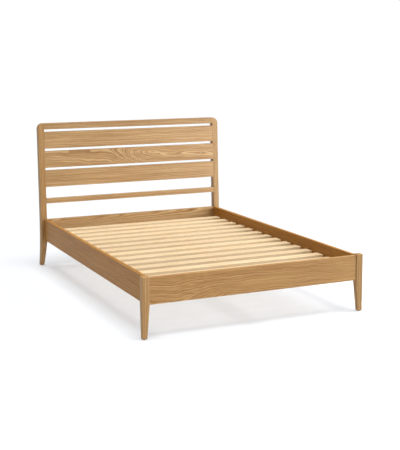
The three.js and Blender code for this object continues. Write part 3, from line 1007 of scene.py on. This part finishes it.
@dataclass
class Headboard(Assembly):
    """Two leaning posts, a top rail, three wide boards and two plain rails below.

    Attributes:
        width: Of a post, seen from the foot.
        depth: Of a post, from front to back.
        tip: Width and depth of a post at the floor.
        sweep: How far back the foot of a post stands.
        corner: Radius of the rounded upper corners.
        edge: Rounding of the posts' arrises.
        inset: How far the boards lie behind the front of the posts.
    """

    width: float = 0.045
    depth: float = 0.048
    tip: float = 0.031
    sweep: float = 0.042
    corner: float = 0.041
    edge: float = 0.0035
    inset: float = 0.0005

    def make(self) -> None:
        """Makes the posts, the rails and the boards."""
        front, across = HEAD_FRONT - FRONT, Fibre.ACROSS_BED
        top_cut = Cut(across, 0.12, 0.09, figure=0.10, tone=-0.12, warmth=0.12)
        end_cut = Cut(across, 0.07, 0.06, wander=0.02, figure=0.35)
        cuts = {
            "headboard_board_upper": Cut(across, 0.13, 0.07, wander=0.01, figure=0.28),
            "headboard_board_middle": Cut(across, 0.030, 0.080, 0.008, figure=0.75, run=-0.07, swirl=-0.02),
            "headboard_board_lower": Cut(across, -0.12, 0.08, wander=-0.01, figure=0.3),
            "head_cross_rail": Cut(across, 0.15, 0.05),
        }
        boards = (
            CrossBoard("headboard_top_rail", front, self.depth, self.edge, top_cut),
            *(CrossBoard(node, front + self.inset, BOARD, BOARD_EDGE, cut) for node, cut in cuts.items()),
            CrossBoard("head_end_rail", front, BOARD, BOARD_EDGE, end_cut, LOW_SHOULDER),
        )
        for board in boards:
            board.make(self.palette, end_holes("head") if board.node == "head_end_rail" else ())
        for name, side in SIDES.items():
            self.post(boards, name, side)

    def post(self, boards: Iterable[CrossBoard], name: str, side: int) -> None:
        """Shapes one post.

        Args:
            boards: What is tenoned into it.
            name: Which post it is.
            side: -1 for the left, 1 for the right.
        """
        node = f"head_post_{name}"
        outer, inner = side * HALF_WIDTH, side * (HALF_WIDTH - self.width)
        piece = Workpiece.block(
            f"{node}_wood",
            (min(outer, inner), HEAD_FRONT, GLIDE_TOP),
            (max(outer, inner), HEAD_FRONT + self.depth, HEAD_TOP),
        )
        steps = [GLIDE_TOP + (RAIL_BOTTOM - GLIDE_TOP) * step / 8 for step in range(1, 8)]
        with piece.shaping():
            piece.saw(2, [*steps, RAIL_BOTTOM, RAIL_TOP])
            piece.pick(
                Element.EDGE,
                lambda at, way: abs(way.y) > FACING and at.z > HEAD_TOP - NEAR and abs(at.x - outer) < NEAR,
            )
            bpy.ops.mesh.bevel(offset=self.corner, segments=12, affect="EDGES")
            for height in [GLIDE_TOP, *steps]:
                self.sweep_ring(piece, side, height)
            piece.lean_back()
        piece.ease(self.edge, lambda at, way: self.arris(at, way, inner), 4)
        for board in boards:
            piece.merge(board.tongue(JOINT), "DIFFERENCE")
        piece.merge(drill(f"rail_dowel_head_{name}", DOWEL_RADIUS), "DIFFERENCE")
        piece.smooth()
        # Painted shade and sheen: the left post is warmed to look shaded, and the right one is kept pale to look
        # lit by a sheen from the right.
        Cut(Fibre.UPRIGHT, 0.11 * side, 0.05, tone=-0.09, warmth=0.13 - 0.12 * side).mark(piece)
        piece.fit("oak_post", self.palette.posts, node)

    def sweep_ring(self, piece: Workpiece, side: int, height: float) -> None:
        """Moves one ring of a leg back, and tapers it behind and inside.

        Args:
            piece: The post.
            side: -1 for the left, 1 for the right.
            height: Where the ring is.
        """
        down = (RAIL_BOTTOM - height) / RAIL_BOTTOM
        up = (height - GLIDE_TOP) / (RAIL_BOTTOM - GLIDE_TOP)
        back = self.sweep * down**1.35
        depth = 1.0 + (self.tip / self.depth - 1.0) * down
        inner = side * (HALF_WIDTH - self.width)
        piece.pick(Element.POINT, lambda at, _: abs(at.z - height) < NEAR)
        piece.swell((1.0, depth, 1.0), (0.0, HEAD_FRONT, height))
        piece.shift((0.0, back, 0.0))
        piece.pick(Element.POINT, lambda at, _: abs(at.z - height) < NEAR and abs(at.x - inner) < NEAR)
        piece.shift((side * (self.width - self.tip) * (1.0 - up), 0.0, 0.0))

    def arris(self, at: Vector, way: Vector, inner: float) -> float:
        """Chooses how much an edge of a post is rounded: barely, where the flush boards meet it.

        Args:
            at: The edge's middle.
            way: Its direction.
            inner: Where the post's inner face is.

        Returns:
            The share of the full rounding.
        """
        if at.z < GLIDE_TOP + ABOUT:
            return 0.5
        if abs(at.x - inner) > ABOUT or at.z < RAIL_BOTTOM:
            return 1.0
        back = at.y > HEAD_FRONT + self.depth / 2 + RAKE * max(0.0, at.z - RAIL_TOP)
        return 1.0 if abs(way.y) < ALONG and back else 0.18


@dataclass
class FootEnd(Assembly):
    """Two plumb posts that taper inside and behind, and the low board between them.

    Attributes:
        width: Of a post, seen from the foot.
        depth: Of a post, from front to back.
        tip_width: Its width at the floor.
        tip_depth: Its depth at the floor.
        top: Height of the posts.
        edge: Rounding of the posts' arrises.
        panel_inset: How far the board lies behind the front of the posts.
    """

    width: float = 0.045
    depth: float = 0.040
    tip_width: float = 0.030
    tip_depth: float = 0.027
    top: float = 0.356
    edge: float = 0.0035
    panel_inset: float = 0.006

    def make(self) -> None:
        """Makes the posts and the footboard."""
        cut = Cut(Fibre.ACROSS_BED, -0.100, 0.060, figure=0.70, run=-0.030, warmth=0.45, swirl=-0.35)
        panel = CrossBoard("footboard_panel", self.panel_inset, BOARD, BOARD_EDGE, cut, LOW_SHOULDER)
        panel.make(self.palette, end_holes("foot"))
        for name, side in SIDES.items():
            self.post(panel, name, side)

    def post(self, panel: CrossBoard, name: str, side: int) -> None:
        """Shapes one post.

        Args:
            panel: The board that is tenoned into it.
            name: Which post it is.
            side: -1 for the left, 1 for the right.
        """
        node = f"foot_post_{name}"
        outer, inner = side * HALF_WIDTH, side * (HALF_WIDTH - self.width)
        piece = Workpiece.block(
            f"{node}_wood", (min(outer, inner), FRONT, GLIDE_TOP), (max(outer, inner), FRONT + self.depth, self.top)
        )
        down = (RAIL_BOTTOM - GLIDE_TOP) / RAIL_BOTTOM
        depth = 1.0 + (self.tip_depth / self.depth - 1.0) * down
        with piece.shaping():
            piece.saw(2, [RAIL_BOTTOM])
            piece.pick(Element.POINT, lambda at, _: at.z < GLIDE_TOP + NEAR)
            piece.swell((1.0, depth, 1.0), (0.0, FRONT, GLIDE_TOP))
            piece.pick(Element.POINT, lambda at, _: at.z < GLIDE_TOP + NEAR and abs(at.x - inner) < NEAR)
            piece.shift((side * (self.width - self.tip_width), 0.0, 0.0))
        piece.ease(self.edge, lambda at, _: 0.5 if at.z < GLIDE_TOP + ABOUT else 1.0, 4)
        piece.merge(panel.tongue(JOINT), "DIFFERENCE")
        piece.merge(drill(f"rail_dowel_foot_{name}", DOWEL_RADIUS), "DIFFERENCE")
        piece.smooth()
        # The right foot post is made darker and warmer than the left.
        Cut(Fibre.UPRIGHT, -0.10 * side, 0.06, tone=-0.03 - 0.07 * side, warmth=0.21 + 0.07 * side).mark(piece)
        piece.fit("oak_post", self.palette.posts, node)


@dataclass
class ScrewedAssembly(Assembly):
    """What a sub-assembly that is put together with screws is given.

    Attributes:
        hardware: Where its screws come from.
    """

    hardware: "Hardware"


@dataclass
class SideRails(ScrewedAssembly):
    """The two long rails, and the ledgers screwed inside them that carry the slats.

    Attributes:
        screws: How many hold each ledger.
        ledger_edge: Rounding of a ledger's arrises.
    """

    screws: int = 7
    ledger_edge: float = 0.0015

    def make(self) -> None:
        """Makes the rails, the ledgers and their screws, and finishes the dowels."""
        for name, side in SIDES.items():
            # Painted shade: the rails' low tone and full warmth make them darker and warmer than the other oak, as
            # side faces turned from the light look.
            rail_cut = Cut(Fibre.ALONG_BED, 0.14, 0.07 * side, wander=0.01, figure=0.38, tone=-0.07, warmth=1.0)
            ledger_cut = Cut(Fibre.ALONG_BED, 0.05, 0.03 * side)
            self.length(f"side_rail_{name}", rail_cut, BOARD_EDGE)
            self.length(f"slat_ledger_{name}", ledger_cut, self.ledger_edge)
            self.screw_row(name, side)
            for end in ENDS:
                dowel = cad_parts[f"rail_dowel_{end}_{name}"]
                dowel.data.materials.clear()
                dowel.data.materials.append(self.palette.dowels)

    def length(self, node: str, cut: Cut, edge: float) -> None:
        """Shapes one long piece.

        Args:
            node: The CAD node it stands for.
            cut: How it was sawn.
            edge: Rounding of its long arrises.
        """
        low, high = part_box(node)
        piece = Workpiece.block(f"{node}_wood", tuple(low), tuple(high))
        piece.ease(edge, lambda _, way: 1.0 if abs(way.y) > ALONG else 0.2)
        oak = node.startswith("side_rail")
        if oak:
            for end in ENDS:
                piece.merge(drill(node.replace("side_rail", f"rail_dowel_{end}"), DOWEL_RADIUS), "DIFFERENCE")
            piece.smooth()
        cut.mark(piece)
        piece.fit("oak_board" if oak else "pine_slat", self.palette.rails if oak else self.palette.slats, node)

    def screw_row(self, name: str, side: int) -> None:
        """Sets a row of screws through a ledger into its rail.

        Args:
            name: Left or right.
            side: -1 for the left, 1 for the right.
        """
        low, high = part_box(f"slat_ledger_{name}")
        face = low.x if side > 0 else high.x
        height = (low.z + high.z) / 2
        shares = [(step + 0.35) / (self.screws - 0.3) for step in range(self.screws)]
        places = [(face, low.y + (high.y - low.y) * share, height) for share in shares]
        row = self.hardware.row(f"ledger_screws_{name}", places, (0.0, -side * QUARTER, 0.0))
        row.fit("zinc_steel", self.palette.steel)


@dataclass
class SlattedBase(ScrewedAssembly):
    """The slats on their ledgers, a centre beam and its leg.

    Attributes:
        count: How many slats there are.
        screw_inset: How far a slat's screws are from the side rails.
        edge: Rounding of the slats' and the beam's arrises.
        leg_top: Width of the leg at the beam.
        leg_tip: Its width at the floor.
        leg_edge: Rounding of its arrises.
    """

    count: int = 14
    screw_inset: float = 0.014
    edge: float = 0.002
    leg_top: float = 0.040
    leg_tip: float = 0.030
    leg_edge: float = 0.003

    def make(self) -> None:
        """Makes the slats with their screws, the beam and the leg."""
        self.slats()
        self.slat_screws()
        self.beam()
        self.leg()

    def slats(self) -> None:
        """Shapes the first slat and copies it along the bed."""
        low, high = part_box("slat_01")
        first = Workpiece.block("slat_blank", tuple(low), tuple(high))
        first.ease(self.edge, lambda _, way: 1.0 if abs(way.x) > ALONG else 0.5)
        dice = random.Random(14)
        for number in range(1, self.count + 1):
            node = f"slat_{number:02d}"
            piece = first.copied(f"{node}_wood", (0.0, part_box(node)[0].y - low.y, 0.0))
            cut = Cut(
                Fibre.FLAT_ACROSS_BED,
                beside=dice.uniform(-0.05, 0.05),
                behind=dice.uniform(0.02, 0.08),
                wander=dice.uniform(-0.02, 0.02),
                figure=dice.uniform(0.0, 0.6),
                tone=dice.uniform(-0.06, 0.06),
            )
            cut.mark(piece)
            piece.fit("pine_slat", self.palette.slats, node)
        bpy.data.objects.remove(first.body)

    def slat_screws(self) -> None:
        """Sets a screw in each end of every slat and one into the beam."""
        low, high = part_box("slat_01")
        y = (low.y + high.y) / 2
        reach = RAIL_INNER - self.screw_inset
        first = self.hardware.row("slat_screw_blank", [(x, y, high.z) for x in (-reach, 0.0, reach)])
        for number in range(1, self.count + 1):
            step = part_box(f"slat_{number:02d}")[0].y - low.y
            first.copied(f"slat_screws_{number:02d}", (0.0, step, 0.0)).fit("zinc_steel", self.palette.steel)
        bpy.data.objects.remove(first.body)

    def beam(self) -> None:
        """Shapes the centre beam."""
        low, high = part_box("centre_beam")
        piece = Workpiece.block("centre_beam_wood", tuple(low), tuple(high))
        piece.ease(self.edge, lambda _, way: 1.0 if abs(way.y) > ALONG else 0.3)
        piece.merge(self.spigot(JOINT), "DIFFERENCE")
        piece.smooth()
        Cut(Fibre.ALONG_BED, 0.04, 0.05, wander=0.01, figure=0.3).mark(piece)
        piece.fit("pine_slat", self.palette.slats, "centre_beam")

    def spigot(self, slack: float = 0.0) -> Workpiece:
        """Makes the pin that joins the leg to the beam, or what bores its hole.

        Args:
            slack: What the hole needs all round.

        Returns:
            The pin.
        """
        low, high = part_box("centre_leg")
        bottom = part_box("centre_beam")[0].z - JOINT - 0.004
        pin = Workpiece.rod("spigot", SPIGOT_RADIUS + slack, bottom, high.z + slack, 40)
        return pin.carry((0.0, (low.y + high.y) / 2, 0.0))

    def leg(self) -> None:
        """Shapes the square leg, tapered on all four faces."""
        low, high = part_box("centre_leg")
        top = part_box("centre_beam")[0].z - JOINT
        middle = (low.y + high.y) / 2
        half = self.leg_top / 2
        piece = Workpiece.block("centre_leg_wood", (-half, middle - half, low.z), (half, middle + half, top))
        taper = self.leg_tip / self.leg_top
        with piece.shaping():
            piece.pick(Element.FACE, lambda _, way: way.z < -FACING)
            piece.swell((taper, taper, 1.0), (0.0, middle, low.z))
        piece.ease(self.leg_edge)
        piece.merge(self.spigot(), "UNION")
        piece.smooth()
        Cut(Fibre.UPRIGHT, 0.08, 0.05).mark(piece)
        piece.fit("oak_post", self.palette.posts, "centre_leg")


@dataclass
class Hardware(Assembly):
    """The steel: corner brackets, beam hangers, bolts and screws.

    Attributes:
        plate: Thickness of the pressed steel.
        arm: Length of a bracket's arm.
        edge: Rounding of the steel's edges.
        depth: How far a hanger reaches under its beam.
        point: Length of a screw's point.
        head: A pattern for the small screws, made when it is first needed.
    """

    plate: float = 0.003
    arm: float = 0.062
    edge: float = 0.0004
    depth: float = 0.040
    point: float = 0.005
    head: Workpiece | None = None

    def make(self) -> None:
        """Makes the brackets, hangers, bolts and hanger screws."""
        bolt = self.bolt()
        screw = self.round_screw()
        for end, into in ENDS.items():
            self.hanger(end, into)
            for name, side in SIDES.items():
                self.bracket(end, name, side, into)
                for number in (1, 2):
                    self.fasten(bolt, f"bracket_bolt_{end}_{name}_{number}", into)
                self.fasten(screw, f"hanger_screw_{end}_{name}", into)
        for pattern in (bolt, screw, self.head):
            bpy.data.objects.remove(pattern.body)

    def row(self, name: str, places: list[Triple], turn: Triple = (0.0, 0.0, 0.0)) -> Workpiece:
        """Makes one piece of several small screw heads, each there once.

        Args:
            name: Its name.
            places: Where the face under each head is.
            turn: From facing up to the way they face.

        Returns:
            The heads.
        """
        heads = [self.screw(at, turn) for at in places]
        made = heads[0].copied(name)
        made.join(heads[1:])
        bpy.data.objects.remove(heads[0].body)
        return made

    def screw(self, at: Triple, turn: Triple) -> Workpiece:
        """Makes a small countersunk screw head.

        Args:
            at: Where the face under it is.
            turn: From facing up to the way it faces.

        Returns:
            The screw head.
        """
        if self.head is None:
            self.head = Workpiece.rod("small_screw", radius=0.0040, bottom=-0.0012, top=0.0007, sides=28)
            with self.head.shaping():
                self.head.pick(Element.FACE, lambda _, way: way.z > FACING)
                self.head.inset(0.0012, 0.00025)
            self.cross_recess(self.head, reach=0.0019, top=0.0009)
            self.head.ease(0.00018, steps=2)
        made = self.head.copied("screw_head")
        made.turn(turn)
        return made.carry(at)

    def cross_recess(self, head: Workpiece, reach: float, top: float) -> None:
        """Cuts a cross into a screw's head.

        Args:
            head: The screw.
            reach: How far each arm of the cross goes.
            top: Height of the head's face.
        """
        arm = reach * 0.26
        for low, high in (((-reach, -arm), (reach, arm)), ((-arm, -reach), (arm, reach))):
            head.merge(Workpiece.block("recess", (*low, top - 0.0011), (*high, top + 0.001)), "DIFFERENCE")

    def bolt(self) -> Workpiece:
        """Makes the pattern of a flanged hexagon bolt.

        Returns:
            A bolt whose flange lies on z = 0.
        """
        bolt = Workpiece.rod("flanged_bolt", radius=0.0090, bottom=0.0, top=0.0016, sides=40)
        with bolt.shaping():
            bolt.pick(Element.FACE, lambda _, way: way.z > FACING)
            bolt.inset(0.0011, 0.0004)
        head = Workpiece.rod("hexagon", radius=0.0075, bottom=0.0012, top=0.0065, sides=6)
        with head.shaping():
            head.pick(Element.FACE, lambda _, way: way.z > FACING)
            head.inset(0.0008)
            head.pick(Element.POINT, lambda at, _: at.z > 0.0064 and at.xy.length > 0.0072)
            head.shift((0.0, 0.0, -0.0005))
            head.pick(Element.FACE, lambda at, way: way.z > 0.99 and at.xy.length < 0.001)
            head.inset(0.0016, -0.0006)
        bolt.merge(head, "UNION")
        bolt.merge(Workpiece.rod("shank", BOLT_RADIUS, bottom=-BOLT_REACH, top=0.0008, sides=24), "UNION")
        bolt.ease(0.00022, steps=2)
        return bolt

    def round_screw(self) -> Workpiece:
        """Makes the pattern of a round-headed wood screw.

        Returns:
            A screw whose head lies on z = 0.
        """
        screw = Workpiece.rod("round_screw", radius=0.0046, bottom=0.0, top=0.0012)
        with screw.shaping():
            for width, rise in ((0.0009, 0.0009), (0.0012, 0.0006), (0.0013, 0.0003)):
                screw.pick(Element.FACE, lambda at, way: way.z > 0.99 and at.xy.length < NEAR)
                screw.inset(width, rise)
        self.cross_recess(screw, reach=0.0023, top=0.0030)
        shank = Workpiece.rod("shank", SCREW_RADIUS, bottom=-SCREW_REACH, top=0.0006, sides=20)
        with shank.shaping():
            shank.saw(2, [self.point - SCREW_REACH])
            shank.pick(Element.POINT, lambda at, _: at.z < NEAR - SCREW_REACH)
            shank.swell((0.25, 0.25, 1.0), (0.0, 0.0, -SCREW_REACH))
        screw.merge(shank, "UNION")
        screw.ease(0.00018, steps=2)
        return screw

    def fasten(self, pattern: Workpiece, node: str, into: int) -> None:
        """Copies a bolt or screw to its place.

        Args:
            pattern: The fastener, upright at the origin.
            node: The CAD node it stands for.
            into: 1 where it is driven towards the headboard, -1 towards the foot.
        """
        low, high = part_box(node)
        tip = high.y if into > 0 else low.y
        length = BOLT_REACH if "bolt" in node else SCREW_REACH
        made = pattern.copied(f"{node}_steel")
        made.turn((into * QUARTER, random.Random(node).uniform(0.0, 1.0) * math.pi / 3, 0.0))
        made.carry(((low.x + high.x) / 2, tip - into * length, (low.z + high.z) / 2))
        made.fit("zinc_steel", self.palette.steel, node)

    def bracket(self, end: str, name: str, side: int, into: int) -> None:
        """Bends one corner bracket from a strip.

        Args:
            end: Foot or head.
            name: Left or right.
            side: -1 for the left, 1 for the right.
            into: 1 at the head, -1 at the foot.
        """
        node = f"corner_bracket_{end}_{name}"
        low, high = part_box(node)
        corner_x = high.x if side > 0 else low.x
        corner_y = high.y if into > 0 else low.y
        bend = 2 * self.plate
        start = (corner_x - side * self.arm, corner_y, low.z)
        stop = (corner_x - side * bend, corner_y - into * self.plate, high.z)
        piece = Workpiece.block(
            f"{node}_steel", tuple(map(min, start, stop)), tuple(map(max, start, stop))
        )
        pivot = (corner_x - side * bend, corner_y - into * bend, low.z)
        with piece.shaping():
            piece.pick(Element.FACE, lambda _, way: way.x * side > FACING)
            turn = QUARTER * side * into
            bpy.ops.mesh.spin(steps=5, angle=turn, center=pivot, axis=(0.0, 0.0, 1.0))
            piece.pick(
                Element.FACE, lambda at, _: abs(at.y - pivot[1]) < 2 * NEAR and abs(at.x - corner_x) < self.plate
            )
            piece.draw_out((0.0, -into * (self.arm - bend), 0.0))
            bpy.ops.mesh.select_all(action="SELECT")
            bpy.ops.mesh.remove_doubles(threshold=1e-6)
            bpy.ops.mesh.normals_make_consistent(inside=False)
            far_x, far_y = corner_x - side * self.arm, corner_y - into * self.arm
            piece.pick(
                Element.EDGE,
                lambda at, way: abs(way.z) < 0.1
                and not (low.z + NEAR < at.z < high.z - NEAR)
                and (
                    (abs(at.x - far_x) < NEAR and abs(way.y) > FACING)
                    or (abs(at.y - far_y) < NEAR and abs(way.x) > FACING)
                ),
            )
            bpy.ops.mesh.bevel(offset=0.008, segments=6, affect="EDGES")
        for number in (1, 2):
            piece.merge(drill(f"bracket_bolt_{end}_{name}_{number}", BOLT_RADIUS), "DIFFERENCE")
        piece.ease(self.edge, steps=2)
        piece.fit("zinc_steel", self.palette.steel, node)
        face, height = corner_x - side * self.plate, (low.z + high.z) / 2
        places = [(face, corner_y - into * share * self.arm, height) for share in (0.42, 0.82)]
        pair = self.row(f"rail_screws_{end}_{name}", places, (0.0, -side * QUARTER, 0.0))
        pair.fit("zinc_steel", self.palette.steel)

    def hanger(self, end: str, into: int) -> None:
        """Presses one beam hanger: a plate with two ears, from which a shoe is drawn out.

        Args:
            end: Foot or head.
            into: 1 at the head, -1 at the foot.
        """
        node = f"beam_hanger_{end}"
        low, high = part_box(node)
        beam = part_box("centre_beam")
        cheek = beam[1].x + JOINT
        face = high.y if into > 0 else low.y
        back = face - into * self.plate
        start, stop = (low.x, min(face, back), low.z), (high.x, max(face, back), high.z)
        piece = Workpiece.block(f"{node}_steel", start, stop)
        floor = low.z + self.plate
        with piece.shaping():
            piece.pick(Element.EDGE, lambda _, way: abs(way.y) > FACING)
            bpy.ops.mesh.bevel(offset=0.006, segments=6, affect="EDGES")
            piece.saw(0, [-cheek - self.plate, -cheek, cheek, cheek + self.plate])
            piece.saw(2, [floor])
            piece.pick(
                Element.FACE,
                lambda at, way: way.y * into < -FACING
                and abs(at.x) < cheek + self.plate
                and (abs(at.x) > cheek or at.z < floor),
            )
            piece.draw_out((0.0, -into * (self.depth - self.plate), 0.0))
        for name in SIDES:
            piece.merge(drill(f"hanger_screw_{end}_{name}", SCREW_RADIUS), "DIFFERENCE")
        piece.ease(self.edge, steps=2)
        piece.fit("zinc_steel", self.palette.steel, node)


@dataclass
class Glides(Assembly):
    """The nylon glides under the five feet.

    Attributes:
        radius: Of a glide.
        edge: Rounding where it meets the floor.
    """

    radius: float = 0.009
    edge: float = 0.0010

    def make(self) -> None:
        """Turns one glide and copies it under every foot."""
        low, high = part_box("glide_centre")
        first = Workpiece.rod("glide_blank", self.radius, low.z, high.z, 40)
        with first.shaping():
            first.pick(Element.FACE, lambda _, way: way.z < -FACING)
            first.inset(self.radius * 0.62)
            first.draw_out((0.0, 0.0, 0.0012))
        first.ease(self.edge, lambda at, _: 1.0 if at.z < low.z + NEAR and at.xy.length > 0.006 else 0.3, 4)
        for name in ("foot_left", "foot_right", "head_left", "head_right", "centre"):
            node = f"glide_{name}"
            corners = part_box(node)
            middle = (corners[0] + corners[1]) / 2
            first.copied(f"{node}_nylon", (middle.x, middle.y, 0.0)).fit("nylon_glide", self.palette.glides, node)
        bpy.data.objects.remove(first.body)


# ----------------------------------------------------------------- the studio


@dataclass(frozen=True)
class Studio:
    """A pale floor, plain soft light and the camera.

    Attributes:
        eye: Where the camera stands.
        yaw: How far it looks to the right of straight up the bed, in degrees.
        pitch: How far it looks down, in degrees.
        lens: Focal length, in millimetres on a 36 mm sensor.
        shift: How far the lens is shifted.
        surround: How brightly the surround lights the bed, and how bright it looks.
    """

    eye: Triple = (-2.6757, -5.8684, 1.6323)
    yaw: float = 24.51
    pitch: float = 7.156
    lens: float = 77.907
    shift: tuple[float, float] = (0.0333, -0.1333)
    surround: tuple[float, float] = (0.16, 1.02)

    def make(self) -> None:
        """Lays the floor, hangs the lights and sets the camera."""
        self.floor()
        self.lights()
        self.camera()
        bpy.context.scene.view_settings.view_transform = "Standard"

    def floor(self) -> None:
        """Lays the floor."""
        put_down()
        bpy.ops.mesh.primitive_plane_add(size=120.0, location=(0.0, 0.0, 0.0))
        floor = bpy.context.object
        floor.name = "studio_floor"
        floor.data.materials.append(PaleFloor().build())
        floor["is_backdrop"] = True

    def lights(self) -> None:
        """Hangs a wide light overhead, one at the front right, a cool soft box and a pale surround."""
        self.sun("overhead", way=(0.03, -0.06, 1.0), strength=3.3, spread=38.0)
        self.sun("front", way=(0.62, -0.75, 0.25), strength=1.35, spread=50.0)
        self.panel("side", (2.5, -0.9, 1.35), (0.4, 0.95, 0.85), size=1.8, power=58.0, colour=(0.85, 0.91, 1.0))
        world = bpy.data.worlds.new("studio")
        bpy.context.scene.world = world
        world.use_nodes = True
        tree = world.node_tree
        tree.nodes.clear()
        seen = tree.nodes.new("ShaderNodeLightPath")
        strength = tree.nodes.new("ShaderNodeMapRange")
        strength.inputs["To Min"].default_value, strength.inputs["To Max"].default_value = self.surround
        tree.links.new(seen.outputs["Is Camera Ray"], strength.inputs["Value"])
        glow = tree.nodes.new("ShaderNodeBackground")
        glow.inputs["Color"].default_value = (1.0, 1.0, 1.0, 1.0)
        tree.links.new(strength.outputs[0], glow.inputs["Strength"])
        output = tree.nodes.new("ShaderNodeOutputWorld")
        tree.links.new(glow.outputs[0], output.inputs["Surface"])

    def sun(self, name: str, way: Triple, strength: float, spread: float) -> None:
        """Adds an even light from one direction.

        Args:
            name: Its name.
            way: Towards the light.
            strength: Its strength.
            spread: How wide it looks, in degrees.
        """
        lamp = bpy.data.lights.new(name, "SUN")
        lamp.energy = strength
        lamp.angle = math.radians(spread)
        self.hang(lamp, Vector(way))

    def panel(self, name: str, at: Triple, towards: Triple, size: float, power: float, colour: Colour) -> None:
        """Adds a square soft box.

        Args:
            name: Its name.
            at: Where it hangs.
            towards: What it faces.
            size: Its side.
            power: Its power in watts.
            colour: Its colour.
        """
        lamp = bpy.data.lights.new(name, "AREA")
        lamp.shape, lamp.size, lamp.energy, lamp.color = "SQUARE", size, power, colour
        self.hang(lamp, Vector(at) - Vector(towards), at)

    def hang(self, lamp: bpy.types.Light, way: Vector, at: Triple = (0.0, 0.0, 0.0)) -> None:
        """Hangs a light.

        Args:
            lamp: The light.
            way: Against its beam.
            at: Where it hangs.
        """
        light = bpy.data.objects.new(lamp.name, lamp)
        light.location = at
        light.rotation_euler = way.to_track_quat("Z", "Y").to_euler()
        bpy.context.scene.collection.objects.link(light)

    def camera(self) -> None:
        """Sets the camera at standing height, at the foot of the bed and a little to its left."""
        lens = bpy.data.cameras.new("camera")
        lens.lens, lens.sensor_width = self.lens, 36.0
        lens.shift_x, lens.shift_y = self.shift
        camera = bpy.data.objects.new("camera", lens)
        camera.location = self.eye
        camera.rotation_euler = (math.radians(90.0 - self.pitch), 0.0, -math.radians(self.yaw))
        bpy.context.scene.collection.objects.link(camera)
        bpy.context.scene.camera = camera


def main() -> None:
    """Builds the bed, one sub-assembly after another, and the studio round it."""
    logging.basicConfig(level=logging.INFO, format="%(name)s: %(message)s")
    palette = Palette()
    hardware = Hardware(palette)
    Headboard(palette).make()
    FootEnd(palette).make()
    SideRails(palette, hardware).make()
    SlattedBase(palette, hardware).make()
    hardware.make()
    Glides(palette).make()
    Studio().make()
    {name: [list(c) for c in box] for name, box in (("cad", cad_box), ("visual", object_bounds()))}


if __name__ == "__main__":
    main()
